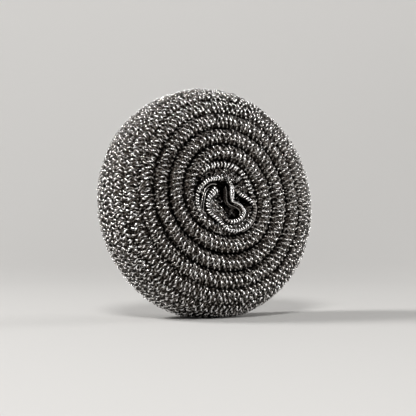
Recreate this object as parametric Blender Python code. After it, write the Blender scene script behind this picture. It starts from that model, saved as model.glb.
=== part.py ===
"""Pot scrubber: one knitted tube of stainless wire, flattened and rolled up into a domed disc.

Units are metres and +Z is up. The disc stands on its rim, faces -Y and leans back a little,
with its squashed foot on the plane z = 0 and its origin at the middle of its footprint.
The roll is modelled the way it is wound: a flat strip is rolled up over the dome, turn beside
turn, from the eye of the front face, over the rim, to the eye of the back face.
"""

import math

import bmesh
import bpy
import numpy as np
from mathutils import Matrix, Vector

MM = 0.001

# Outer form of the roll
DIAMETER = 79.6 * MM
THICKNESS = 35.8 * MM
DOME_POWER = 2.9  # 2 is an ellipsoid, and more makes the faces flatter and the rim squarer

# Winding: arcs are measured over the dome, outwards from the middle of the front face
TURN_PITCH = 6.0 * MM
GROOVE_DEPTH = 2.3 * MM
RIM_GROOVE_DEPTH = 1.0 * MM  # the turns are pulled tighter and flatter round the rim
GROOVE_FADE_START = 22 * MM
GROOVE_FADE_END = 40 * MM
FIRST_TURN_ARC = 9.9 * MM  # where the winding's spiral crosses the +X side
START_ANGLE = math.radians(-110)  # how far from there the first turn comes out of the eye
RISE_ANGLE = math.radians(40)
EYE_ARC = 8.4 * MM  # no turn is wound tighter than the fold inside it
SINK_ARC = 13.5 * MM  # inside this the face sinks towards the eye
SINK_SLOPE = 0.4
BACK_EYE_ARC = 4.5 * MM
WINDING_SHIFT = Vector((-2.9, 1.0)) * MM  # the turns sit off centre on the faces
OVAL_RIPPLE = 0.5 * MM
OVAL_ANGLE = math.radians(-45)
LOBE_RIPPLE = 0.5 * MM
LOBE_ANGLE = math.radians(-43)

# Wire loops across each turn, drawn coarser than the real knit
STATIONS_PER_TURN = 78
ROWS_PER_TURN = 4
LOOP_RELIEF = 0.36 * MM

# Eyes: the hollow that the inner end of the tube is folded into, and the closed one behind
EYE_DEPTH = 8.0 * MM
EYE_TAPER = 0.8
BACK_EYE_DEPTH = 3.0 * MM
BACK_EYE_TAPER = 0.5

# The inner end of the tube, folded on edge inside the eye: X and Y on the face, in millimetres
BAND_THICKNESS = 1.8 * MM
BAND_DROP = 0.2 * MM  # how far its edge lies below the face
BAND_ROOT = 0.8 * MM  # how far it runs into the floor of the eye
BAND_STEP = 1.1 * MM
BAND_RIB = 0.84
HEAD_SWELL = 1.45  # the tube's own end is left fatter than the band
HEAD_STEPS = 4
OUTER_FOLD = ((5.7, 4.6), (6.6, 2.3), (7.6, -0.5), (7.9, -3.6), (7.2, -7.1), (5.8, -9.7), (3.2, -11.3),
              (-0.1, -12.0), (-3.7, -11.1), (-5.6, -9.5), (-6.9, -8.0), (-10.2, -6.4), (-10.7, -4.6),
              (-10.4, -1.2), (-8.7, 1.6), (-5.7, 3.4))
INNER_FOLD = ((7.5, -1.6), (5.8, -0.5), (3.4, 0.8), (1.5, 2.3), (-0.4, 3.9), (-1.4, 3.3), (-1.5, 0.6),
              (-0.8, -1.3), (1.1, -2.2), (3.1, -2.9), (4.1, -4.6), (3.6, -6.6), (1.8, -8.1),
              (-0.7, -8.8), (-3.4, -8.0), (-5.3, -5.7))
RING_FOLD = ((-4.7, 6.2), (-7.5, 6.3), (-10.0, 5.6), (-12.4, 3.9), (-14.0, 1.6), (-14.7, -1.2),
             (-14.9, -3.9))

# How it stands
LEAN = math.radians(8)
SETTLE = 1.2 * MM  # how much of the rim is squashed flat by standing

WELD = 0.001 * MM
PROFILE_STEPS = 600
HALF = THICKNESS / 2
RADIUS = DIAMETER / 2


def clear_scene():
    for thing in list(bpy.data.objects):
        bpy.data.objects.remove(thing)


def new_collection(name):
    collection = bpy.data.collections.new(name)
    bpy.context.scene.collection.children.link(collection)
    return collection


def dome_radius(turn):
    return RADIUS * np.sin(turn) ** (2 / DOME_POWER)


def dome_quarter():
    """Arc length and turn along the front half of the profile, from pole to rim."""
    turn = np.linspace(0, math.pi / 2, PROFILE_STEPS)
    radius = dome_radius(turn)
    height = HALF * np.clip(np.cos(turn), 0, 1) ** (2 / DOME_POWER)
    arc = np.concatenate([[0], np.cumsum(np.hypot(np.diff(radius), np.diff(height)))])
    return arc, turn


ARC_TABLE, TURN_TABLE = dome_quarter()
RIM_ARC = ARC_TABLE[-1]


def dome_height(radius):
    return HALF * (1 - min(radius / RADIUS, 1) ** DOME_POWER) ** (1 / DOME_POWER)


def ripple(angle, arc):
    """How far the hand-wound turns wander in or out. It fades to nothing at the rim."""
    fade = max(0, 1 - arc / RIM_ARC)
    oval = OVAL_RIPPLE * math.cos(2 * (angle - OVAL_ANGLE))
    lobes = LOBE_RIPPLE * math.cos(3 * (angle - LOBE_ANGLE))
    return fade * (oval + lobes)


def on_dome(arc, angle, lift):
    """The point at this arc and angle, raised by lift along the surface's normal."""
    side = 1 if arc < RIM_ARC else -1
    from_pole = arc if side > 0 else 2 * RIM_ARC - arc
    radius = dome_radius(np.interp(from_pole + ripple(angle, from_pole), ARC_TABLE, TURN_TABLE))
    shift = WINDING_SHIFT * (1 - (radius / RADIUS) ** 2)
    flat = Vector((radius * math.cos(angle), radius * math.sin(angle))) + shift
    height = dome_height(flat.length)
    slope = flat.normalized() * (flat.length / RADIUS) ** (DOME_POWER - 1) / RADIUS
    rise = (height / HALF) ** (DOME_POWER - 1) / HALF
    normal = Vector((slope.x, slope.y, side * rise)).normalized()
    return Vector((flat.x, flat.y, side * height)) + normal * lift


def seam_arc(turned):
    """Where the seam between two turns lies once the winding has turned this far, clockwise from +X."""
    return max(EYE_ARC, FIRST_TURN_ARC + TURN_PITCH * turned / math.tau)


def groove_depth(arc):
    """Deep between the turns of a face, and shallow between those round the rim."""
    from_pole = min(arc, 2 * RIM_ARC - arc)
    share = (from_pole - GROOVE_FADE_START) / (GROOVE_FADE_END - GROOVE_FADE_START)
    share = min(max(share, 0), 1)
    return GROOVE_DEPTH + (RIM_GROOVE_DEPTH - GROOVE_DEPTH) * share


def strip_point(station, row):
    """Where a point of the flat strip goes when the strip is rolled up."""
    turned = START_ANGLE + math.tau * station / STATIONS_PER_TURN
    across = row / ROWS_PER_TURN
    inner, outer = seam_arc(turned - math.pi), seam_arc(turned + math.pi)
    arc = inner + (outer - inner) * across
    rounding = math.sqrt(1 - (2 * across - 1) ** 2)
    rise = min(1, (turned - START_ANGLE) / RISE_ANGLE)
    lift = groove_depth(arc) * (rounding * rise - 1) - SINK_SLOPE * max(0, SINK_ARC - arc)
    if 0 < row < ROWS_PER_TURN:
        lift += LOOP_RELIEF * rise * (0.5 if (station + row) % 2 else -0.5)
    return on_dome(arc, -turned, lift)


def roll_up_strip(bm):
    """Lays a flat grid over the dome as one spiral and welds each turn to the next."""
    end_angle = math.tau * (2 * RIM_ARC - BACK_EYE_ARC - FIRST_TURN_ARC) / TURN_PITCH
    stations = round(STATIONS_PER_TURN * (end_angle - START_ANGLE) / math.tau)
    bmesh.ops.create_grid(bm, x_segments=stations, y_segments=ROWS_PER_TURN, size=1)
    for vert in bm.verts:
        station = round((vert.co.x + 1) / 2 * stations)
        row = round((vert.co.y + 1) / 2 * ROWS_PER_TURN)
        vert.co = strip_point(station, row)
    bmesh.ops.remove_doubles(bm, verts=bm.verts, dist=WELD)


def close_eye(bm, side, depth, taper):
    """Draws the open edge of one face inwards to a flat floor, as the wall of its eye."""
    rim = [e for e in bm.edges if e.is_boundary and side * e.verts[0].co.z > 0]
    wall = bmesh.ops.extrude_edge_only(bm, edges=rim)["geom"]
    floor = [v for v in wall if isinstance(v, bmesh.types.BMVert)]
    middle = sum((v.co for v in floor), Vector()) / len(floor)
    for vert in floor:
        vert.co = middle + (vert.co - middle) * taper
        vert.co.z = side * (HALF - depth)
    bmesh.ops.holes_fill(bm, edges=[e for e in wall if isinstance(e, bmesh.types.BMEdge)], sides=0)


def stand_on_rim(bm):
    """Tips the disc up on its rim, squashes its foot flat, and returns how it was placed."""
    tipped = Matrix.Rotation(math.pi / 2 - LEAN, 4, "X")
    bm.transform(tipped)
    low = Vector([min(v.co[i] for v in bm.verts) for i in range(3)])
    high = Vector([max(v.co[i] for v in bm.verts) for i in range(3)])
    middle = (low + high) / 2
    lifted = Matrix.Translation((-middle.x, -middle.y, -low.z - SETTLE))
    bm.transform(lifted)
    for vert in bm.verts:
        vert.co.z = max(vert.co.z, 0)
    return lifted @ tipped


def smooth_path(points, step):
    """Points at an even step along a smooth curve through these ones, in metres."""
    ends = [Vector(p) * MM for p in points]
    ends = [ends[0] * 2 - ends[1], *ends, ends[-1] * 2 - ends[-2]]
    fine = []
    for before, start, end, after in zip(ends, ends[1:], ends[2:], ends[3:]):
        for k in range(20):
            t = k / 20
            bend = (before * 2 - start * 5 + end * 4 - after) * t * t
            bend += (start * 3 - before - end * 3 + after) * t * t * t
            fine.append(start + (end - before) * t / 2 + bend / 2)
    fine.append(ends[-2])
    along = np.concatenate([[0], np.cumsum([(b - a).length for a, b in zip(fine, fine[1:])])])
    places = np.linspace(0, along[-1], max(3, round(along[-1] / step)))
    return [Vector((np.interp(p, along, [f.x for f in fine]), np.interp(p, along, [f.y for f in fine])))
            for p in places]


def folded_band(name, points, swell, collection):
    """A stretch of the flattened tube standing on edge in the eye, with its wire loops as ribs."""
    top = HALF - BAND_DROP
    bottom = HALF - EYE_DEPTH - BAND_ROOT
    path = smooth_path(points, BAND_STEP)
    curve = bpy.data.curves.new(name, "CURVE")
    curve.dimensions = "3D"
    curve.twist_mode = "Z_UP"
    curve.bevel_depth = BAND_THICKNESS / 2
    curve.bevel_resolution = 0
    curve.extrude = (top - bottom - BAND_THICKNESS) / 2
    curve.use_fill_caps = True
    spline = curve.splines.new("POLY")
    spline.points.add(len(path) - 1)
    for index, place in enumerate(path):
        near_end = max(0, 1 - (len(path) - 1 - index) / HEAD_STEPS)
        growth = 1 + (swell - 1) * near_end
        middle = top - (top - bottom) / 2 * growth  # the fat head stays level with the rest
        spline.points[index].co = (place.x, place.y, middle, 1)
        spline.points[index].radius = (1 if index % 2 else BAND_RIB) * growth
    swept = bpy.data.objects.new(name + "_curve", curve)
    collection.objects.link(swept)
    bpy.context.view_layer.update()
    graph = bpy.context.evaluated_depsgraph_get()
    mesh = bpy.data.meshes.new_from_object(swept.evaluated_get(graph))
    bpy.data.objects.remove(swept)
    bm = bmesh.new()
    bm.from_mesh(mesh)
    bmesh.ops.remove_doubles(bm, verts=bm.verts, dist=WELD)
    bmesh.ops.recalc_face_normals(bm, faces=bm.faces)
    bm.to_mesh(mesh)
    bm.free()
    band = bpy.data.objects.new(name, mesh)
    band.hide_render = True
    band.display_type = "WIRE"
    collection.objects.link(band)
    return band


def steel():
    material = bpy.data.materials.new("stainless_wire")
    material.use_nodes = True
    shader = material.node_tree.nodes["Principled BSDF"]
    shader.inputs["Base Color"].default_value = (0.42, 0.41, 0.39, 1)
    shader.inputs["Metallic"].default_value = 1
    shader.inputs["Roughness"].default_value = 0.3
    return material


def knitted_roll(parts, helpers):
    bm = bmesh.new()
    roll_up_strip(bm)
    close_eye(bm, 1, EYE_DEPTH, EYE_TAPER)
    close_eye(bm, -1, BACK_EYE_DEPTH, BACK_EYE_TAPER)
    bmesh.ops.recalc_face_normals(bm, faces=bm.faces)
    placed = stand_on_rim(bm)
    mesh = bpy.data.meshes.new("knitted_wire_roll")
    bm.to_mesh(mesh)
    bm.free()
    mesh.shade_smooth()
    mesh.materials.append(steel())
    roll = bpy.data.objects.new("knitted_wire_roll", mesh)
    parts.objects.link(roll)
    folds = {
        "outer_fold": (OUTER_FOLD, HEAD_SWELL),
        "inner_fold": (INNER_FOLD, 1),
        "ring_fold": (RING_FOLD, 1),
    }
    for name, (points, swell) in folds.items():
        band = folded_band(name, points, swell, helpers)
        band.matrix_world = placed
        joined = roll.modifiers.new(name, "BOOLEAN")
        joined.operation = "UNION"
        joined.solver = "EXACT"
        joined.object = band
    return roll


def main():
    clear_scene()
    parts = new_collection("pot_scrubber")
    helpers = new_collection("fold_helpers")
    knitted_roll(parts, helpers)


main()
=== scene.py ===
import math

import bmesh
import bpy
import numpy as np
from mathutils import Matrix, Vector


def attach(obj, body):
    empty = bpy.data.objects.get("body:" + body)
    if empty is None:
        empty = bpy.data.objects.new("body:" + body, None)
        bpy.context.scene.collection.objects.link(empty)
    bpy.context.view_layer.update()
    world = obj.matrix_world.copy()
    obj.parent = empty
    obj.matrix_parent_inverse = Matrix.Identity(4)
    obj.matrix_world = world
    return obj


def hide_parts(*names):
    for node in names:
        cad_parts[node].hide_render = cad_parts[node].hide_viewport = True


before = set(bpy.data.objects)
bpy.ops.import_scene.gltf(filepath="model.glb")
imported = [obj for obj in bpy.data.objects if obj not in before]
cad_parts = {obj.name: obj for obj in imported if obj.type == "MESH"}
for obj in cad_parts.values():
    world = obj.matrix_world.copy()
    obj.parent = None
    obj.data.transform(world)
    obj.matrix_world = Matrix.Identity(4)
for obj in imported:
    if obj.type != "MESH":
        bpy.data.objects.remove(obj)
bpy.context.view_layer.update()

rootBody = "root"
rollNode = "knitted_wire_roll"
mm = 0.001

# The roll's form and winding, in millimetres and degrees, as the solid under the wires has them
roll = {
    "diameter": 79.6, "thickness": 35.8,
    "domePower": 2.9,  # 2 is an ellipsoid, and more makes the faces flatter and the rim squarer
    "turnPitch": 6.0, "firstTurnArc": 9.9, "startAngle": -110.0, "riseAngle": 40.0,
    "faceGroove": 2.3, "rimGroove": 0.8, "grooveFade": (22.0, 40.0), "seamDive": 1.6,
    "bandFade": (27.0, 44.0),  # arcs between which a face's bands, with their painted highlights and painted shade in the seams, give way to the even rim
    "darkBandSide": -38.0, "litSideFade": 9.0,  # the angle at which the bands reach furthest; opposite it they end this much nearer the eye: painted light where light would reach into the grooves, and the knit's form follows
    "eyeArc": 8.4, "sinkArc": 13.5, "sinkSlope": 0.4, "backEyeArc": 4.5,  # turns sink towards the front eye
    "windingShift": (-2.9, 1.0), "oval": (0.5, -45.0), "lobes": (0.5, -43.0),  # what sets it off round
    "lean": 8.0, "centre": (0.064, -0.014, 38.758),
}


# Dome and winding

profileSteps, windingSteps = 4000, 6000
rimRadius = roll["diameter"] / 2
poleHeight = roll["thickness"] / 2
domePower = roll["domePower"]
profileTurn = np.linspace(0, math.pi / 2, profileSteps)
profileRadius = rimRadius * np.sin(profileTurn) ** (2 / domePower)
profileHeight = poleHeight * np.clip(np.cos(profileTurn), 0, 1) ** (2 / domePower)
profileArc = np.concatenate([[0], np.cumsum(np.hypot(np.diff(profileRadius), np.diff(profileHeight)))])
rimArc = profileArc[-1]  # from the pole of a face to the rim


# Points and surface normals of the dome, from arrays of arc, angle and height above it
def onDome(arc, angle, lift):
    side = np.where(arc < rimArc, 1.0, -1.0)
    fromPole = np.where(side > 0, arc, 2 * rimArc - arc)
    fade = np.clip(1 - fromPole / rimArc, 0, 1)
    wander = roll["oval"][0] * np.cos(2 * (angle - math.radians(roll["oval"][1])))
    wander = wander + roll["lobes"][0] * np.cos(3 * (angle - math.radians(roll["lobes"][1])))
    turn = np.interp(fromPole + fade * wander, profileArc, profileTurn)
    radius = rimRadius * np.sin(turn) ** (2 / domePower)
    shift = 1 - (radius / rimRadius) ** 2
    x = radius * np.cos(angle) + shift * roll["windingShift"][0]
    y = radius * np.sin(angle) + shift * roll["windingShift"][1]
    flat = np.maximum(np.hypot(x, y), 1e-6)
    height = poleHeight * np.clip(1 - (flat / rimRadius) ** domePower, 0, 1) ** (1 / domePower)
    slope = (flat / rimRadius) ** (domePower - 1) / rimRadius / flat
    rise = (height / poleHeight) ** (domePower - 1) / poleHeight
    normal = np.stack([x * slope, y * slope, side * rise], axis=-1)
    normal /= np.linalg.norm(normal, axis=-1, keepdims=True)
    return np.stack([x, y, side * height], axis=-1) + normal * np.asarray(lift)[..., None], normal


# From the first value of a pair to the second
def blend(pair, share):
    return pair[0] + (pair[1] - pair[0]) * share


# Arc from the pole of the front face to the spiral between the turns, which starts at the edge of the eye
def seamArc(turned):
    spiral = roll["firstTurnArc"] + roll["turnPitch"] * turned / math.tau
    return np.maximum(roll["eyeArc"], spiral)


# Deep grooves between the turns on the faces, shallow ones round the rim
def grooveDepth(arc):
    fromPole = np.minimum(arc, 2 * rimArc - arc)
    start, end = roll["grooveFade"]
    share = np.clip((fromPole - start) / (end - start), 0, 1)
    return blend((roll["faceGroove"], roll["rimGroove"]), share)


# Points and normals round the back of a turn: around is 0 on its crest and a right angle at its seams,
# and past a right angle the point dives into the seam
def onRidge(turned, around, fill, lift):
    inner, outer = seamArc(turned - math.pi), seamArc(turned + math.pi)
    side = np.clip(around, -math.pi / 2, math.pi / 2)
    arc = (inner + outer) / 2 + (outer - inner) / 2 * fill * np.sin(side)
    depth = grooveDepth((inner + outer) / 2)
    rise = np.clip((turned - math.radians(roll["startAngle"])) / math.radians(roll["riseAngle"]), 0, 1)
    sink = roll["sinkSlope"] * np.maximum(0, roll["sinkArc"] - arc)
    dive = np.maximum(0, np.abs(around) - math.pi / 2)
    height = depth * (np.cos(side) * rise - 1) - sink - dive * np.maximum(depth, roll["seamDive"])
    point, domeNormal = onDome(arc, -turned, height)
    beside, _ = onDome(arc + 0.05, -turned, height)  # a hair further out, for the direction across the turn
    outwards = beside - point
    outwards /= np.linalg.norm(outwards, axis=-1, keepdims=True)
    tilt = np.sin(side) * np.minimum(1, depth / roll["faceGroove"])
    normal = domeNormal * np.sqrt(1 - tilt ** 2)[..., None] + outwards * tilt[..., None]
    return point + normal * np.asarray(lift)[..., None], normal


# How far each sampled place along the winding is from its start
def windingLength():
    last = math.tau * (2 * rimArc - roll["backEyeArc"] - roll["firstTurnArc"]) / roll["turnPitch"]
    turned = np.linspace(math.radians(roll["startAngle"]), last, windingSteps)
    zero = np.zeros_like(turned)
    crest, _ = onRidge(turned, zero, 1, zero)
    steps = np.linalg.norm(np.diff(crest, axis=0), axis=1)
    return turned, np.concatenate([[0], np.cumsum(steps)])


windingTurned, windingRun = windingLength()
tipUp = math.pi / 2 - math.radians(roll["lean"])
tipMatrix = np.array([[1, 0, 0],
                      [0, math.cos(tipUp), -math.sin(tipUp)],
                      [0, math.sin(tipUp), math.cos(tipUp)]])
floorGap = {"wires": 0.12, "core": 0.25, "bands": 0.2}  # what would lie lower is pressed flat


# Turns face millimetres into the standing roll's metres, and settles what meets the floor
def standUp(points, clearance):
    placed = points @ tipMatrix.T + np.array(roll["centre"])
    placed[:, 2] = np.maximum(placed[:, 2], clearance)
    return placed * mm


print("winding", round(windingRun[-1]), "mm long")


# Meshes

def newMesh(name, verts, faces, material):
    mesh = bpy.data.meshes.new(name)
    mesh.from_pydata(verts.tolist(), [], faces)
    mesh.materials.append(material)
    mesh.update()
    piece = bpy.data.objects.new(name, mesh)
    bpy.context.scene.collection.objects.link(piece)
    return piece


sectionSides = {"knit": 4, "fold": 6, "laid": 8, "loose": 6}  # of a wire cut across


# Rings of points round a wire's path, flattened against the surface that up stands on
def wireRings(wire, sides):
    path, up = wire["path"], wire["up"]
    along = np.gradient(path, axis=0)
    along /= np.maximum(np.linalg.norm(along, axis=1, keepdims=True), 1e-9)
    across = np.cross(along, up)
    across /= np.maximum(np.linalg.norm(across, axis=1, keepdims=True), 1e-9)
    over = np.cross(across, along)
    turn = (np.arange(sides) + 0.5) * math.tau / sides  # a flat side up and down
    width = np.broadcast_to(wire["width"], len(path))[:, None, None]
    ring = np.cos(turn)[None, :, None] * across[:, None, :] * width / 2
    ring = ring + np.sin(turn)[None, :, None] * over[:, None, :] * wire["thickness"] / 2
    ring = ring / math.cos(math.pi / sides)
    return path[:, None, :] + ring


# One mesh of closed wires, with each point's painted light, from painted shade to painted highlight, kept
# for the material
def sweepWires(name, wires, sides, material):
    verts, faces, shines, first = [], [], [], 0
    for wire in wires:
        count = len(wire["path"])
        verts.append(wireRings(wire, sides).reshape(-1, 3))
        shines.append(np.repeat(np.broadcast_to(wire["shine"], count), sides))
        start = first + np.arange(count - 1)[:, None] * sides
        here, beside = np.arange(sides)[None, :], (np.arange(sides)[None, :] + 1) % sides
        corners = [start + here, start + beside, start + sides + beside, start + sides + here]
        quads = np.stack(corners, axis=-1)
        faces.extend(quads.reshape(-1, 4).tolist())
        faces.append(list(range(first + sides - 1, first - 1, -1)))
        faces.append(list(range(first + (count - 1) * sides, first + count * sides)))
        first += count * sides
    piece = newMesh(name, standUp(np.concatenate(verts), floorGap["wires"]), faces, material)
    piece.data.shade_smooth()
    paintedLight = piece.data.attributes.new("paintedLight", "FLOAT", "POINT")
    paintedLight.data.foreach_set("value", np.concatenate(shines).astype(np.float32))
    return piece


# Random values between -1 and 1 that change smoothly every few samples
def softNoise(rng, count, spacing):
    knots = rng.uniform(-1, 1, count // spacing + 3)
    return np.interp(np.arange(count) / spacing, np.arange(len(knots)), knots)


# Materials

def toLinear(hexColour):
    channels = [int(hexColour[i:i + 2], 16) / 255 for i in (1, 3, 5)]
    linear = [c / 12.92 if c <= 0.04045 else ((c + 0.055) / 1.055) ** 2.4 for c in channels]
    return (*linear, 1.0)


# Adds a node: settings are its attributes or input values, links its inputs' sources
def addNode(tree, kind, settings, links):
    node = tree.nodes.new(kind)
    for key, value in settings.items():
        if hasattr(node, key):
            setattr(node, key, value)
        else:
            node.inputs[key].default_value = value
    for key, source in links.items():
        tree.links.new(source, node.inputs[key])
    return node


def newMaterial(name):
    material = bpy.data.materials.new(name)
    material.use_nodes = True
    return material, material.node_tree, material.node_tree.nodes["Principled BSDF"]


# Stainless steel drawn into fine wire, with light and shade painted into its colour: a painted highlight,
# and smoother, where the loops stand proud, dull and brown painted shade where they lie low
def drawnStainlessWire(name, look):
    material, tree, shader = newMaterial(name)
    shader.inputs["Metallic"].default_value = 1.0
    place = addNode(tree, "ShaderNodeTexCoord", {}, {})
    paintedLight = addNode(tree, "ShaderNodeAttribute", {"attribute_name": "paintedLight"}, {})
    patches = addNode(tree, "ShaderNodeTexNoise",
                      {"Scale": 1 / (look["dullPatch"] * mm), "Detail": 3.0},
                      {"Vector": place.outputs["Object"]})
    most = look["dulling"]
    dulling = addNode(tree, "ShaderNodeMapRange",
                      {"From Min": 0.3, "From Max": 0.7, "To Min": -most, "To Max": most},
                      {"Value": patches.outputs["Fac"]})
    level = addNode(tree, "ShaderNodeMath", {"operation": "ADD"},
                    {0: paintedLight.outputs["Fac"], 1: dulling.outputs["Result"]})
    tint = addNode(tree, "ShaderNodeValToRGB", {}, {"Fac": level.outputs["Value"]})
    for position, colour in look["tints"]:
        stop = tint.color_ramp.elements.new(position)
        stop.color = toLinear(colour)
    tint.color_ramp.elements.remove(tint.color_ramp.elements[0])  # the two stops it starts with
    tint.color_ramp.elements.remove(tint.color_ramp.elements[-1])
    tree.links.new(tint.outputs["Color"], shader.inputs["Base Color"])
    dull, polished = look["roughness"]
    smooth = addNode(tree, "ShaderNodeMapRange", {"To Min": dull, "To Max": polished},
                     {"Value": level.outputs["Value"]})
    tree.links.new(smooth.outputs["Result"], shader.inputs["Roughness"])
    return material


# Tints go from painted shade to painted highlight, and roughness from dull to smooth with them; dull patches
# are in millimetres, a few loops across
wireLook = {"tints": ((0.02, "#161310"), (0.2, "#6e6660"), (0.5, "#d4d0cb"), (0.75, "#fdfcfb")),
            "dullPatch": 2.5, "dulling": 0.06, "roughness": (0.34, 0.19)}
# The inner wires' tints, likewise from painted shade to painted highlight
innerLook = {"tints": ((0.02, "#151210"), (0.4, "#807870"), (0.98, "#e6e2dd")),
             "dullPatch": 2.0, "dulling": 0.12, "roughness": (0.42, 0.3)}


# The packed inner layers of the knit: crossing wires in their own shade, almost black between them
def packedStainlessKnit(name, look):
    material, tree, shader = newMaterial(name)
    shader.inputs["Metallic"].default_value = 1.0
    place = addNode(tree, "ShaderNodeTexCoord", {}, {})
    cells = addNode(tree, "ShaderNodeTexVoronoi",
                    {"feature": "DISTANCE_TO_EDGE", "Scale": 1 / (look["opening"] * mm)},
                    {"Vector": place.outputs["Object"]})
    # The ramp paints shade: dark wires and almost black openings between them
    shade = addNode(tree, "ShaderNodeValToRGB", {}, {"Fac": cells.outputs["Distance"]})
    shade.color_ramp.elements[0].position = look["wireTo"]
    shade.color_ramp.elements[0].color = toLinear(look["wire"])
    shade.color_ramp.elements[1].position = look["gapFrom"]
    shade.color_ramp.elements[1].color = toLinear(look["gap"])
    # Painted shade over the whole core, from its lit share attribute
    paintedLitShare = addNode(tree, "ShaderNodeAttribute", {"attribute_name": "paintedLitShare"}, {})
    shaded = addNode(tree, "ShaderNodeVectorMath", {"operation": "SCALE"},
                     {0: shade.outputs["Color"], "Scale": paintedLitShare.outputs["Fac"]})
    tree.links.new(shaded.outputs["Vector"], shader.inputs["Base Color"])
    shader.inputs["Roughness"].default_value = look["roughness"]
    relief = addNode(tree, "ShaderNodeBump",
                     {"Strength": 0.9, "Distance": look["relief"] * mm, "invert": True},
                     {"Height": cells.outputs["Distance"]})
    tree.links.new(relief.outputs["Normal"], shader.inputs["Normal"])
    return material


# Openings of 0.8 mm between crossing wires; wireTo and gapFrom are shares of an opening, from a wire inwards
# Painted shade: the wires a dark brown, the openings between them almost black
packedLook = {"wire": "#6e655d", "gap": "#060505", "wireTo": 0.01, "gapFrom": 0.13,
              "opening": 0.8, "relief": 0.3, "roughness": 0.45}

outerSteel = drawnStainlessWire("drawn_stainless_wire", wireLook)
innerSteel = drawnStainlessWire("shaded_stainless_wire", innerLook)
packedSteel = packedStainlessKnit("packed_stainless_knit", packedLook)


# How clearly the turns stand out as bands, with painted highlights on the crests and painted shade in the
# seams, at a place along the
# winding: 1 near the eyes and 0 round the rim, and 0 sooner on one side, painted lighter there; the knit's
# form follows the same share
def faceShare(run):
    turned = np.interp(run, windingRun, windingTurned)
    arc = seamArc(turned)
    # 1 on the side where the bands end sooner and the seams are painted lighter
    tight = 0.5 - 0.5 * np.cos(turned + math.radians(roll["darkBandSide"]))
    fromPole = np.minimum(arc, 2 * rimArc - arc) + roll["litSideFade"] * tight ** 4
    start, end = roll["bandFade"]
    return np.clip((end - fromPole) / (end - start), 0, 1)


# Core of packed knit, under the wires that can be told apart

core = {"rows": 10, "stationLength": 0.85, "below": 0.85, "bumps": 0.22,
        "rimLitShare": 0.55, "seamFall": 1.5, "eyeLitShare": 0.35,  # painted shade: 0 paints the core black, and 1 shows its wires
        "eyeDepth": 8.0, "eyeTaper": 0.8, "backEyeDepth": 3.0, "backEyeTaper": 0.5, "weld": 0.02, "seed": 3}


# Walls down from the open edge of a face, and a floor under them, painted dark as shade in the hollow
def sinkEye(bm, layer, side, depth, taper):
    front = Vector((0, -math.sin(tipUp), math.cos(tipUp)))
    middle = Vector(roll["centre"]) * mm
    edge = [e for e in bm.edges if e.is_boundary and side * (e.verts[0].co - middle).dot(front) > 0]
    wall = bmesh.ops.extrude_edge_only(bm, edges=edge)["geom"]
    floor = [v for v in wall if isinstance(v, bmesh.types.BMVert)]
    centre = sum((v.co for v in floor), Vector()) / len(floor)
    for vert in floor:
        vert.co = centre + (vert.co - centre) * taper
        off = (vert.co - middle).dot(front)
        vert.co += front * (side * (poleHeight - depth) * mm - off)
        vert[layer] = core["eyeLitShare"]
    bmesh.ops.holes_fill(bm, edges=[e for e in wall if isinstance(e, bmesh.types.BMEdge)], sides=0)


def packedCore():
    rng = np.random.default_rng(core["seed"])
    middleRadius = rimRadius * 0.75  # of an average turn
    stationsPerTurn = round(math.tau * middleRadius / core["stationLength"])
    last = windingTurned[-1]
    stations = int((last - windingTurned[0]) / math.tau * stationsPerTurn)
    rows = core["rows"]
    turned = windingTurned[0] + np.arange(stations + 1)[:, None] * math.tau / stationsPerTurn
    around = np.linspace(-math.pi / 2, math.pi / 2, rows + 1)[None, :]
    turned, around = np.broadcast_arrays(turned, around)
    bumps = rng.uniform(-1, 1, turned.shape) * core["bumps"] * np.cos(around)
    run = np.interp(turned, windingTurned, windingRun)
    # Painted shade: the core is darker towards the seams and over the rim, and varied at random
    paintedLitShare = blend((core["rimLitShare"], np.cos(around) ** core["seamFall"]), faceShare(run))
    paintedLitShare = paintedLitShare * rng.random(turned.shape) * 2
    points, _ = onRidge(turned, around, 1.0, bumps - core["below"] * np.cos(around))
    bm = bmesh.new()
    flat = standUp(points.reshape(-1, 3), floorGap["core"])
    layer = bm.verts.layers.float.new("paintedLitShare")
    verts = [bm.verts.new(p) for p in flat.tolist()]
    for vert, value in zip(verts, paintedLitShare.ravel().tolist()):
        vert[layer] = value
    for i in range(stations):
        for j in range(rows):
            k = i * (rows + 1) + j
            bm.faces.new((verts[k], verts[k + 1], verts[k + rows + 2], verts[k + rows + 1]))
    bmesh.ops.remove_doubles(bm, verts=bm.verts, dist=core["weld"] * mm)
    sinkEye(bm, layer, 1, core["eyeDepth"], core["eyeTaper"])
    sinkEye(bm, layer, -1, core["backEyeDepth"], core["backEyeTaper"])
    bmesh.ops.recalc_face_normals(bm, faces=bm.faces)
    mesh = bpy.data.meshes.new("packed_core")
    bm.to_mesh(mesh)
    bm.free()
    mesh.materials.append(packedSteel)
    mesh.shade_smooth()
    piece = bpy.data.objects.new("packed_core", mesh)
    bpy.context.scene.collection.objects.link(piece)
    return piece


# Knitted wire over each turn: one long wire that runs over the crest and turns back in the seam, and
# weaves up and down so that its neighbours' raised loops fall between its own

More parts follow.
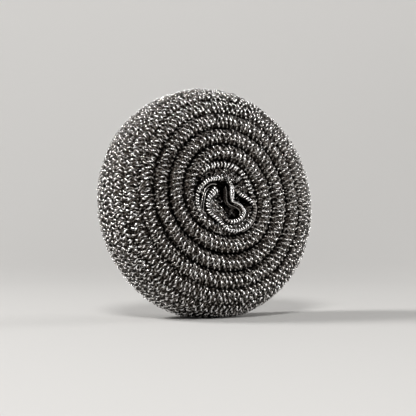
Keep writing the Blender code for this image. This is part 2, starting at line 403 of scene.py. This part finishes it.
# In millimetres, with reach in degrees from the crest. Pairs are for the rim and for the faces; spacing is
# for the inner and the outer turns
outerKnit = {"spacing": (0.84, 1.0), "reach": 104.0, "fill": (1.0, 0.94), "lift": -0.26,
             "loopLength": 3.4, "lean": (0.0, -0.20), "swing": 0.36, "weave": (0.36, 0.24),
             "width": (0.13, 0.54), "swell": 4, "thickness": 0.25, "samples": 26,  # wide on the raised loops
             "wanderAlong": 0.19, "wanderPhase": (0.9, 0.35), "driftPhase": 0.6, "wanderLift": 0.09,
             "strays": 0.04, "strayLift": 0.4,  # a few loops stand proud of the rest
             # The shine keys paint light and shade into the wires' colour: painted highlights on raised
             # loops, painted shade low between them and into the seams, random painted glints
             "halfLoopShine": (0.8, 0.14), "crestFall": (0.5, 2.3), "shineRange": (1.35, 2.4),
             "beadSharpness": ((7.0, 14.0), (1.8, 4.2)),  # how short the painted highlight on the back of a loop is
             "floorShine": (0.0, 0.34), "glint": (1.0, 0.85), "glintRarity": 3.2, "seed": 11}
innerKnit = {"spacing": (1.1, 1.3), "reach": 94.0, "fill": (0.99, 0.99), "lift": -0.66,
             "loopLength": 2.2, "lean": (0.40, 0.40), "swing": 0.45, "weave": (0.16, 0.16),
             "width": (0.13, 0.24), "swell": 4, "thickness": 0.15, "samples": 18,
             "wanderAlong": 0.26, "wanderPhase": (1.2, 1.2), "driftPhase": 0.6, "wanderLift": 0.12,
             "strays": 0.0, "strayLift": 0.0,
             # The inner knit's shine keys paint light and shade in the same way
             "halfLoopShine": (1.0, 1.0), "crestFall": (0.1, 1.0), "shineRange": (0.0, 1.0),
             "beadSharpness": ((3.0, 9.0), (3.0, 9.0)),
             "floorShine": (0.0, 0.50), "glint": (1.0, 1.0), "glintRarity": 3.5, "seed": 23}
smallTurnsRun = 160.0  # millimetres of winding in the small turns round the front eye
driftLegs = 9  # legs over which neighbours drift together
knitCuts = (0.31, 0.69)  # shares of the legs where the front face ends and the back face begins
crestReach, seamPaintedLight = 1.15, 0.06  # how far the crest's painted light reaches down a turn, and the share of it left in the painted shade of its seams
floorFlicker = (0, 1.8)  # random flicker of the painted shade on the wires low between the loops
glintInSeam = 0.8  # painted glints are hardly dimmer in the seams than on the crest


# Places along the winding of the wire's legs, closer together in the small inner turns
def legStarts(knit):
    tight, loose = knit["spacing"]
    spacing = tight + (loose - tight) * np.clip(windingRun / smallTurnsRun, 0, 1)
    count = np.concatenate([[0], np.cumsum(np.diff(windingRun) / spacing[1:])])
    return np.interp(np.arange(int(count[-1])) + 0.5, count, windingRun)


# Painted highlights on the raised loops' backs, painted shade on the wires low between them and towards the
# seams, and a few random painted glints
def knitShine(knit, rng, raised, around, parity, face):
    legs = len(raised)
    # Painted shade: height here is the painted light across the turn, 1 on the crest and falling into the
    # seams
    height = np.clip(np.cos(around) * crestReach, seamPaintedLight, 1) ** blend(knit["crestFall"], face)
    rimBead, faceBead = knit["beadSharpness"]
    sharpness = blend((rng.uniform(*rimBead, (legs, 1)), rng.uniform(*faceBead, (legs, 1))), face)
    bead = raised ** sharpness * rng.uniform(*knit["shineRange"], (legs, 1))
    bead = bead * np.where(parity > 0, 1.0, blend(knit["halfLoopShine"], face)) * height
    low = rng.uniform(*knit["floorShine"], (legs, 1)) * height ** 0.5
    low = low * rng.uniform(*floorFlicker, around.shape)
    glints = rng.random(around.shape) ** knit["glintRarity"] * np.maximum(height ** 0.3, glintInSeam)
    glints = glints * blend(knit["glint"], face)
    return low + (1 - low) * np.maximum(bead, glints)


def knitPath(knit):
    rng = np.random.default_rng(knit["seed"])
    start = legStarts(knit)
    legs = len(start)
    face = faceShare(start)[:, None]
    start = start + rng.normal(0, knit["wanderAlong"], legs)
    parity = np.where(np.arange(legs) % 2 == 0, 1.0, -1.0)[:, None]
    around = np.linspace(-1, 1, knit["samples"])[None, :] * math.radians(knit["reach"]) * parity
    flatTurned = np.broadcast_to(np.interp(start, windingRun, windingTurned)[:, None], around.shape)
    fill = blend(knit["fill"], face)
    flat, _ = onRidge(flatTurned, around, fill, np.zeros(around.shape))
    steps = np.linalg.norm(np.diff(flat, axis=1), axis=2)
    reach = np.concatenate([np.zeros((legs, 1)), np.cumsum(steps, axis=1)], axis=1)
    outwards = (reach - reach[:, -1:] / 2) * parity  # distance from the crest, towards the rim
    phase = rng.normal(0, 1, (legs, 1)) * blend(knit["wanderPhase"], face)
    phase = phase + softNoise(rng, legs, driftLegs)[:, None] * knit["driftPhase"]
    swing = outwards * math.tau / knit["loopLength"] + phase
    raised = 0.5 + 0.5 * np.cos(swing) * parity
    along = start[:, None] - blend(knit["lean"], face) * outwards
    along = along - knit["swing"] * np.sin(swing) * blend((1, parity), face)
    stray = (rng.random(legs) < knit["strays"])[:, None]
    lift = knit["lift"] + blend(knit["weave"], face) * (raised * 2 - 1)
    lift = lift + rng.normal(0, knit["wanderLift"], legs)[:, None]
    lift = lift + stray * raised * knit["strayLift"] * rng.random((legs, 1))
    points, normals = onRidge(np.interp(along, windingRun, windingTurned), around, fill, lift)
    thin, wide = knit["width"]
    width = thin + (wide - thin) * raised ** knit["swell"]
    return points, normals, width, knitShine(knit, rng, raised, around, parity, face)


# The knit in three pieces: front face, rim and back face
def knittedWires(name, knit, material):
    points, normals, widths, shines = knitPath(knit)
    legs = len(points)
    cuts = [0, *(int(legs * cut) for cut in knitCuts), legs]
    pieces = []
    for part, first, last in zip(("front", "rim", "back"), cuts, cuts[1:]):
        wire = {"path": points[first:last].reshape(-1, 3), "up": normals[first:last].reshape(-1, 3),
                "width": widths[first:last].ravel(), "thickness": knit["thickness"],
                "shine": shines[first:last].ravel()}
        pieces.append(sweepWires(name + "_" + part, [wire], sectionSides["knit"], material))
    return pieces


corePiece = packedCore()
print("packed core", len(corePiece.data.polygons), "faces")
outerPieces = knittedWires("outer_knit", outerKnit, outerSteel)
innerPieces = knittedWires("inner_knit", innerKnit, innerSteel)
print("knitted wires", sum(len(p.data.polygons) for p in outerPieces + innerPieces), "faces")


# Inner end of the tube, folded on edge in the eye: wires wrap each edge and run down its sides, and a few
# run along it

# Spacing is from leg to leg, sunk is how far a fold lies under the others, and beadFall how soon the painted
# light falls off its edge into painted shade. Every point is across and up the face, then half the fold's
# width and its painted light
folds = {
    "heart_fold": {"wander": 0.06, "spacing": 0.5, "sunk": 0.0, "beadFall": 1.2, "line": (
        (7.8, -2.6, 0.3, 0.25), (7.9, -4.6, 0.3, 0.3), (7.0, -6.8, 0.32, 0.45), (5.0, -9.3, 0.4, 0.85),
        (2.7, -10.8, 0.36, 1.05), (-0.6, -11.6, 0.36, 1.15), (-3.9, -10.8, 0.32, 1.15),
        (-6.4, -8.3, 0.28, 1.1), (-8.8, -6.4, 0.28, 1.05), (-10.4, -5.0, 0.3, 1.2),
        (-10.7, -3.2, 0.3, 1.1), (-10.2, -0.9, 0.6, 0.95), (-8.4, 1.0, 1.05, 1.2), (-6.5, 2.5, 1.25, 1.3))},
    "point_fold": {"wander": 0.06, "spacing": 0.5, "sunk": 0.0, "beadFall": 0.5, "line": (
        (7.5, -2.6, 0.3, 0.5), (6.3, -1.3, 0.36, 1.2), (4.3, 0.0, 0.36, 1.3), (2.4, 0.9, 0.36, 1.1),
        (1.2, 1.9, 0.36, 0.4), (-0.1, 2.9, 0.36, 0.35), (-0.9, 3.9, 0.4, 0.4))},
    "hook_fold": {"wander": 0.06, "spacing": 0.52, "sunk": 0.0, "beadFall": 0.7, "line": (
        (-0.9, 3.6, 0.5, 0.4), (-1.0, 1.5, 0.55, 0.3), (-1.1, -0.4, 0.55, 0.3), (-0.5, -1.8, 0.55, 0.3),
        (1.0, -2.4, 0.55, 0.3), (2.5, -3.3, 0.55, 0.35), (3.4, -4.7, 0.5, 0.4), (3.4, -6.0, 0.45, 0.7),
        (2.4, -7.1, 0.45, 0.95), (0.7, -8.1, 0.5, 1.2), (-1.5, -8.5, 0.45, 1.1), (-3.3, -8.1, 0.4, 0.45),
        (-5.3, -6.4, 0.3, 0.25))},
    "first_turn": {"wander": 0.14, "spacing": 0.66, "sunk": 0.35, "beadFall": 2.0, "line": (
        (-12.9, 6.6, 0.4, 0.25), (-11.6, 8.4, 0.6, 0.5), (-10.2, 9.5, 0.8, 0.75), (-7.8, 10.4, 0.95, 0.9),
        (-5.3, 10.9, 0.95, 1.0), (-3.4, 11.0, 0.95, 1.0), (-1.0, 10.8, 0.95, 1.0), (1.0, 10.1, 0.95, 0.9),
        (2.5, 9.4, 0.9, 0.95), (4.3, 8.0, 0.85, 1.0), (5.4, 6.4, 0.8, 0.9), (6.2, 4.4, 0.75, 1.0),
        (6.8, 2.6, 0.65, 0.85), (7.2, 0.8, 0.5, 0.7), (7.6, -1.2, 0.35, 0.35))},
    "ring_fold": {"wander": 0.07, "spacing": 0.5, "sunk": 0.0, "beadFall": 1.3, "line": (
        (-4.5, 6.2, 0.45, 0.4), (-5.9, 6.2, 0.55, 0.85), (-7.7, 6.0, 0.6, 1.0), (-9.7, 5.5, 0.55, 0.95),
        (-11.9, 4.0, 0.5, 0.9), (-13.7, 2.1, 0.45, 0.9), (-14.5, -0.4, 0.4, 0.9),
        (-14.6, -2.9, 0.38, 0.85), (-14.2, -5.0, 0.3, 0.5))},
}
# Wires laid along the folds: points as above with the depth under the pole, then width and painted light,
# mostly darker for the deeper wires as painted shade
laidWires = (
    (((-0.9, 3.7, 0.1), (-1.3, 2.6, 0.0), (-1.4, 1.2, 0.0), (-1.4, -0.5, 0.0), (-0.9, -1.7, 0.0),
      (0.7, -2.2, 0.0), (2.2, -3.0, 0.0), (3.3, -4.4, 0.0), (3.6, -5.7, 0.05), (2.9, -6.9, 0.2)), 0.62, 1.0),
    (((-0.3, 3.6, 0.2), (-0.3, 2.2, 0.1), (-0.4, 0.6, 0.1), (-0.5, -1.0, 0.3)), 0.48, 0.85),
    (((-2.8, 3.2, 0.7), (-2.7, 1.5, 0.6), (-2.8, -1.2, 0.6), (-2.0, -2.7, 0.6), (0.2, -3.5, 0.6),
      (1.7, -4.4, 0.6), (2.2, -5.6, 0.7), (1.7, -6.6, 0.9)), 0.36, 0.36),
    (((-2.6, 3.6, 1.2), (-2.6, 1.5, 1.3), (-2.7, -1.2, 1.4), (-1.9, -3.0, 1.4), (0.0, -4.0, 1.4)),
     0.28, 0.26),
    (((-2.7, 3.2, 1.9), (-2.7, 1.2, 2.1), (-2.8, -0.8, 2.3), (-2.2, -2.4, 2.4)), 0.26, 0.22),
    (((-6.3, 4.1, 0.9), (-7.9, 4.3, 0.8), (-9.5, 3.7, 0.8), (-10.8, 2.6, 0.8), (-11.7, 0.8, 0.9),
      (-12.3, -1.2, 1.0), (-12.9, -3.6, 1.2), (-12.8, -5.6, 1.5)), 0.34, 0.55),
    (((-9.5, 2.8, 0.9), (-10.9, 1.2, 0.7), (-11.4, -0.5, 0.7), (-11.9, -2.6, 0.9), (-12.1, -4.6, 1.1)),
     0.32, 0.60),
    (((7.8, -0.8, 0.6), (8.8, -3.6, 0.7), (8.1, -7.0, 0.8), (5.9, -10.1, 0.9), (2.7, -11.9, 0.9)),
     0.40, 0.40),
    (((-9.6, -1.2, 0.9), (-9.6, -3.4, 0.9), (-8.8, -5.1, 1.0), (-6.8, -7.0, 1.1), (-4.6, -9.2, 1.1),
      (-1.8, -10.2, 1.1), (0.8, -9.9, 1.2)), 0.26, 0.55),
    (((-8.9, -0.6, 1.4), (-8.8, -2.8, 1.3), (-8.1, -4.6, 1.4), (-6.2, -6.4, 1.5), (-4.2, -8.4, 1.6),
      (-2.0, -9.5, 1.8)), 0.24, 0.42),
    (((-8.0, 0.2, 2.0), (-7.9, -2.0, 1.7), (-7.4, -3.7, 1.8), (-5.9, -5.4, 2.0), (-4.2, -7.2, 2.2),
      (-3.0, -8.4, 2.4)), 0.24, 0.45),
    (((-7.1, -0.4, 2.6), (-7.0, -2.0, 2.3), (-6.3, -3.6, 2.4), (-5.0, -5.0, 2.7), (-3.8, -6.4, 3.0)),
     0.22, 0.30),
)
# A laid wire is wider at its kinks than between them, four steps apart, and painted brighter there as a
# highlight
laidForm = {"step": 0.25, "kinkSteps": 4, "kinkRise": 0.06, "widths": (0.85, 1.1), "shines": (0.75, 1.0),
            "flicker": (0.9, 1.05), "thickness": 0.75, "tipWidth": 0.4}
# Every second leg of the wrapped wire stands proud and is painted bright as a highlight, and the others lie
# sunk and thin, painted dark as in its shade
wrap = {"top": 0.25, "wall": 6.0, "wallStops": (1.0, 0.5, 0.15), "edgeSamples": 9,
        "lean": 0.16, "proud": 0.22, "sink": 0.12, "reachWander": 0.6,
        "width": (0.20, 0.54), "thickness": 0.32, "shineRange": (0.6, 1.5), "lowShine": 0.06, "seed": 5}
# The bands' lit share is painted shade, half their light
band = {"step": 0.7, "under": 0.12, "thinnest": 0.2, "edgeSamples": 7, "paintedLitShare": 0.5}
# Bits of the tube's cut end in the hollows: across and up the face, radius, count, two depths, painted light
tangles = ((-11.6, 7.0, 1.3, 22, 0.9, 2.2, 0.55), (-8.6, 8.0, 1.2, 22, 0.9, 2.2, 0.60),
           (-5.2, 8.4, 1.5, 30, 0.9, 2.4, 0.65), (-2.2, 7.9, 1.6, 32, 0.9, 2.6, 0.65),
           (0.6, 6.9, 1.7, 32, 0.9, 2.6, 0.70), (2.9, 5.0, 1.7, 30, 0.9, 2.6, 0.70),
           (4.6, 2.4, 1.3, 22, 0.9, 2.4, 0.65), (-0.4, 4.9, 1.1, 12, 1.2, 2.8, 0.55),
           (1.8, 2.6, 1.0, 12, 1.2, 3.0, 0.50), (2.8, -1.2, 1.0, 10, 1.6, 3.2, 0.45),
           (-8.2, -2.0, 1.1, 26, 0.7, 2.0, 0.85), (-7.4, -4.4, 1.2, 30, 0.7, 2.0, 0.85),
           (-5.2, -6.4, 1.4, 34, 0.7, 2.2, 0.80), (-5.2, -3.8, 1.4, 18, 1.6, 3.4, 0.45),
           (-4.6, 0.4, 2.2, 40, 2.8, 5.5, 0.60), (-0.4, -5.0, 2.2, 44, 2.8, 5.5, 0.60),
           (5.6, -4.6, 0.8, 16, 0.9, 2.2, 0.60), (4.4, -7.8, 0.9, 18, 0.9, 2.2, 0.60),
           (1.6, -9.9, 0.7, 12, 0.9, 2.0, 0.55), (-11.9, -5.9, 1.2, 22, 0.9, 2.4, 0.55),
           (-9.3, -8.6, 1.2, 22, 0.9, 2.4, 0.55), (-6.2, -11.0, 1.2, 22, 0.9, 2.4, 0.55),
           (-13.1, -2.6, 0.7, 12, 1.0, 2.2, 0.50), (-12.0, 1.8, 0.7, 12, 1.0, 2.2, 0.50))
backTangles = ((-2.9, 1.0, 2.4, 60, 1.0, 2.4, 0.60), (-2.9, 1.0, 4.2, 90, 0.9, 2.0, 0.55))
# dimmest, shineSpread, shineRarity and flicker paint a few random glints on the loose wires
looseWires = {"length": (0.7, 2.2), "width": 0.20, "thickness": 0.16, "samples": 8, "curl": 0.4,
              "arch": (0.1, 0.6), "dimmest": 0.2, "shineSpread": 1.8, "shineRarity": 2.5,
              "flicker": (0.3, 1.3), "seed": 8}
curveSteps = 24  # from one given point to the next


# The points joined by a smooth curve, at even steps along it
def smoothPath(points, step):
    given = np.array(points, float)
    given = np.vstack([given[0] * 2 - given[1], given, given[-1] * 2 - given[-2]])
    fine = []
    for before, start, end, after in zip(given, given[1:], given[2:], given[3:]):
        t = np.linspace(0, 1, curveSteps, endpoint=False)[:, None]
        squared = before * 2 - start * 5 + end * 4 - after
        cubed = start * 3 - before - end * 3 + after
        bend = squared * t ** 2 + cubed * t ** 3
        fine.append(start + ((end - before) * t + bend) / 2)
    fine = np.vstack(fine + [given[-2:-1]])
    run = np.concatenate([[0], np.cumsum(np.linalg.norm(np.diff(fine[:, :2], axis=0), axis=1))])
    places = np.linspace(0, run[-1], max(4, round(run[-1] / step)))
    return np.stack([np.interp(places, run, column) for column in fine.T], axis=1)


# Directions along and across a path on the face
def sidewaysOf(path):
    tangent = np.gradient(path[:, :2], axis=0)
    tangent /= np.linalg.norm(tangent, axis=1, keepdims=True)
    return tangent, np.stack([-tangent[:, 1], tangent[:, 0]], axis=1)


# One wire that climbs a side of the fold, crosses its edge and goes down the other side
def wrappedFold(fold, rng):
    path = smoothPath(fold["line"], fold["spacing"])
    tangent, sideways = sidewaysOf(path)
    turn = np.linspace(-1, 1, wrap["edgeSamples"]) * math.pi / 2
    down = [-wrap["wall"] * stop for stop in wrap["wallStops"]]
    around = np.concatenate([[-math.pi / 2] * len(down), turn, [math.pi / 2] * len(down)])
    below = np.concatenate([down, np.zeros(len(turn)), down[::-1]])
    line, up, width, shine = [], [], [], []
    for leg, (half, paintedLight) in enumerate(path[:, 2:]):
        raised = leg % 2 == 0
        order = slice(None) if raised else slice(None, None, -1)
        reach = half + (wrap["proud"] if raised else -wrap["sink"])
        reach = reach + rng.normal(0, fold["wander"] * wrap["reachWander"])
        jog = (wrap["lean"] + rng.normal(0, fold["wander"])) * np.sin(around) + rng.normal(0, fold["wander"])
        across = np.sin(around) * reach
        height = poleHeight - wrap["top"] - fold["sunk"] - half + np.cos(around) * reach + below
        flat = path[leg, :2] + sideways[leg] * across[:, None] + tangent[leg] * jog[:, None]
        line.append(np.column_stack([flat, height])[order])
        up.append(np.column_stack([sideways[leg] * np.sin(around)[:, None], np.cos(around)])[order])
        # Painted highlights on the raised legs and painted shade on the sunk ones, both falling off the edge
        bright = paintedLight * (rng.uniform(*wrap["shineRange"]) if raised else wrap["lowShine"])
        onEdge = np.clip(np.cos(around), 0.05, 1) ** fold["beadFall"]
        shine.append((bright * onEdge * (below == 0))[order])  # painted shade on the walls: no shine there
        width.append(np.full(len(around), wrap["width"][1] if raised else wrap["width"][0]))
    return {"path": np.vstack(line), "up": np.vstack(up), "width": np.concatenate(width),
            "thickness": wrap["thickness"], "shine": np.concatenate(shine)}


def laidWire(points, width, shine, rng):
    path = smoothPath(points, laidForm["step"])
    count = len(path)
    kinks = 0.5 + 0.5 * np.cos(np.arange(count) * math.tau / laidForm["kinkSteps"])
    path = np.column_stack([path[:, :2], poleHeight - path[:, 2] + kinks * laidForm["kinkRise"]])
    fromEnd = np.minimum(np.arange(count), np.arange(count)[::-1])
    taper = np.clip(fromEnd / 2 + laidForm["tipWidth"], 0, 1)
    flicker = rng.uniform(*laidForm["flicker"], count)
    return {"path": path, "up": np.tile([0, 0, 1.0], (count, 1)),
            "width": width * taper * blend(laidForm["widths"], kinks),
            "thickness": width * laidForm["thickness"],
            "shine": shine * blend(laidForm["shines"], kinks) * flicker}


def looseWire(tangle, side, rng):
    x, y, radius, _, shallow, deep, shine = tangle
    samples = looseWires["samples"]
    angle, away = rng.uniform(0, math.tau), radius * math.sqrt(rng.random())
    length = rng.uniform(*looseWires["length"])
    headings = rng.uniform(0, math.tau) + rng.normal(0, looseWires["curl"]) * np.arange(samples)
    across = x + away * math.cos(angle) + np.cumsum(np.cos(headings)) * length / samples
    up = y + away * math.sin(angle) + np.cumsum(np.sin(headings)) * length / samples
    arch = np.sin(np.linspace(0, math.pi, samples)) * rng.uniform(*looseWires["arch"])
    depth = rng.uniform(shallow, deep) - arch
    bright = looseWires["dimmest"] + looseWires["shineSpread"] * rng.random() ** looseWires["shineRarity"]
    return {"path": np.column_stack([across, up, side * (poleHeight - depth)]),
            "up": np.tile([0, 0, 1.0], (samples, 1)),
            "width": looseWires["width"], "thickness": looseWires["thickness"],
            "shine": shine * bright * rng.uniform(*looseWires["flicker"], samples)}


# The packed knit inside a fold, as a closed strip a little under its wires
def foldBand(fold):
    path = smoothPath(fold["line"], band["step"])
    _, sideways = sidewaysOf(path)
    half = np.maximum(path[:, 2] - band["under"], band["thinnest"])
    turn = np.linspace(-math.pi / 2, math.pi / 2, band["edgeSamples"])
    ring = [(-1, -wrap["wall"])] + [(math.sin(t), math.cos(t)) for t in turn] + [(1, -wrap["wall"])]
    verts = []
    for place, side, width in zip(path, sideways, half):
        for across, height in ring:
            flat = place[:2] + side * width * across
            rise = height * width if height > 0 else height
            verts.append((*flat, poleHeight - wrap["top"] - fold["sunk"] - place[2] + rise))
    return np.array(verts), len(ring)


def foldBands():
    verts, faces, first = [], [], 0
    for fold in folds.values():
        strip, count = foldBand(fold)
        rings = len(strip) // count
        for i in range(rings - 1):
            for j in range(count):
                here, beside = first + i * count + j, first + i * count + (j + 1) % count
                faces.append([here, beside, beside + count, here + count])
        faces.append(list(range(first + count - 1, first - 1, -1)))
        faces.append(list(range(first + (rings - 1) * count, first + rings * count)))
        verts.append(strip)
        first += len(strip)
    piece = newMesh("fold_bands", standUp(np.concatenate(verts), floorGap["bands"]), faces, packedSteel)
    # Painted shade: the whole band is painted at half its light
    paintedLitShare = piece.data.attributes.new("paintedLitShare", "FLOAT", "POINT")
    paintedLitShare.data.foreach_set("value", np.full(first, band["paintedLitShare"], np.float32))
    piece.data.shade_smooth()
    return piece


foldRng = np.random.default_rng(wrap["seed"])
foldPieces = [foldBands()]
for foldName, fold in folds.items():
    foldPieces.append(sweepWires(foldName, [wrappedFold(fold, foldRng)], sectionSides["fold"], outerSteel))
laid = [laidWire(points, width, shine, foldRng) for points, width, shine in laidWires]
foldPieces.append(sweepWires("laid_wires", laid, sectionSides["laid"], outerSteel))
looseRng = np.random.default_rng(looseWires["seed"])
loose = [looseWire(tangle, 1, looseRng) for tangle in tangles for _ in range(tangle[3])]
loose += [looseWire(tangle, -1, looseRng) for tangle in backTangles for _ in range(tangle[3])]
foldPieces.append(sweepWires("loose_wires", loose, sectionSides["loose"], outerSteel))
print("folds", sum(len(p.data.polygons) for p in foldPieces), "faces")


# Floor, lights and camera

# In metres and watts; a lamp is its name, place, size across and power
studio = {
    "floorColour": "#d3d1ce", "floorRoughness": 0.85, "floorSize": 3.0,
    "backdropAway": 1.3, "backdropHeight": 1.8, "backdropBend": 0.9,
    "farLight": (0.25, 1.6), "farGlow": 0.80, "worldColour": "#ffffff", "worldStrength": 0.16,
    "lamps": (("key", (-0.42, -0.56, 0.66), 0.26, 4.8),
              ("left", (-0.54, 0.36, 0.62), 0.30, 5.2),
              ("right", (0.64, -0.12, 0.16), 0.36, 2.2)),
    "lampAim": (0, 0, 0.04),
}
# Degrees and metres, then millimetres: across the picture, and from the roll's middle to the aim
view = {"azimuth": -32.0, "distance": 0.50, "across": 143.7, "aimRight": 0.48, "aimDown": 1.42}


# Matt white seamless paper, lit evenly to its far end for the camera and in the metal
def mattPaper():
    material, tree, shader = newMaterial("matt_seamless_paper")
    shader.inputs["Base Color"].default_value = toLinear(studio["floorColour"])
    shader.inputs["Roughness"].default_value = studio["floorRoughness"]
    place = addNode(tree, "ShaderNodeTexCoord", {}, {})
    away = addNode(tree, "ShaderNodeVectorMath", {"operation": "LENGTH"}, {0: place.outputs["Object"]})
    near, far = studio["farLight"]
    glow = addNode(tree, "ShaderNodeMapRange",
                   {"From Min": near, "From Max": far, "To Max": studio["farGlow"]},
                   {"Value": away.outputs["Value"]})
    ray = addNode(tree, "ShaderNodeLightPath", {}, {})
    seen = addNode(tree, "ShaderNodeMath", {"operation": "MAXIMUM"},
                   {0: ray.outputs["Is Camera Ray"], 1: ray.outputs["Is Glossy Ray"]})
    seenGlow = addNode(tree, "ShaderNodeMath", {"operation": "MULTIPLY"},
                       {0: glow.outputs["Result"], 1: seen.outputs["Value"]})
    shader.inputs["Emission Color"].default_value = toLinear(studio["floorColour"])
    tree.links.new(seenGlow.outputs["Value"], shader.inputs["Emission Strength"])
    return material


# A paper sweep: flat floor that curves up behind the roll, square to the camera
def sweepBackdrop():
    size, away, top = studio["floorSize"], studio["backdropAway"], studio["backdropHeight"]
    bend = studio["backdropBend"]
    profile = [(-size / 2, 0.0), (away - bend, 0.0)]
    for t in np.linspace(0.1, math.pi / 2, 16):
        profile.append((away - bend + bend * math.sin(t), bend - bend * math.cos(t)))
    profile.append((away, top))
    turn = math.radians(view["azimuth"])
    verts = []
    for along, up in profile:
        for across in (-size / 2, size / 2):
            verts.append((across * math.cos(turn) - along * math.sin(turn),
                          across * math.sin(turn) + along * math.cos(turn), up))
    faces = [[2 * i, 2 * i + 1, 2 * i + 3, 2 * i + 2] for i in range(len(profile) - 1)]
    floor = newMesh("paper_sweep", np.array(verts), faces, mattPaper())
    floor.data.shade_smooth()


def softBox(name, place, size, energy):
    lamp = bpy.data.lights.new(name, "AREA")
    lamp.shape = "DISK"
    lamp.size = size
    lamp.energy = energy
    box = bpy.data.objects.new(name, lamp)
    box.location = place
    box.rotation_euler = (Vector(place) - Vector(studio["lampAim"])).to_track_quat("Z", "Y").to_euler()
    bpy.context.scene.collection.objects.link(box)


def makeCamera():
    turn = math.radians(view["azimuth"])
    right = Vector((math.cos(turn), math.sin(turn), 0))
    ahead = Vector((-math.sin(turn), math.cos(turn), 0))
    aim = Vector(roll["centre"]) + right * view["aimRight"] - Vector((0, 0, view["aimDown"]))
    camera = bpy.data.cameras.new("camera")
    camera.sensor_width = 36.0
    camera.lens = camera.sensor_width * view["distance"] / (view["across"] * mm)
    camera.clip_start = 0.01
    tripod = bpy.data.objects.new("camera", camera)
    tripod.location = aim * mm - ahead * view["distance"]
    tripod.rotation_euler = (math.pi / 2, 0, turn)
    bpy.context.scene.collection.objects.link(tripod)
    bpy.context.scene.camera = tripod


def makeWorld():
    world = bpy.data.worlds.new("studio")
    world.use_nodes = True
    background = world.node_tree.nodes["Background"]
    background.inputs["Color"].default_value = toLinear(studio["worldColour"])
    background.inputs["Strength"].default_value = studio["worldStrength"]
    bpy.context.scene.world = world


sweepBackdrop()
for name, place, size, energy in studio["lamps"]:
    softBox(name, place, size, energy)
makeCamera()
makeWorld()
bpy.context.scene.view_settings.view_transform = "Standard"
print("studio ready")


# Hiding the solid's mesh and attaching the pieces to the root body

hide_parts(rollNode)
for piece in [corePiece, *outerPieces, *innerPieces, *foldPieces]:
    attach(piece, rootBody)
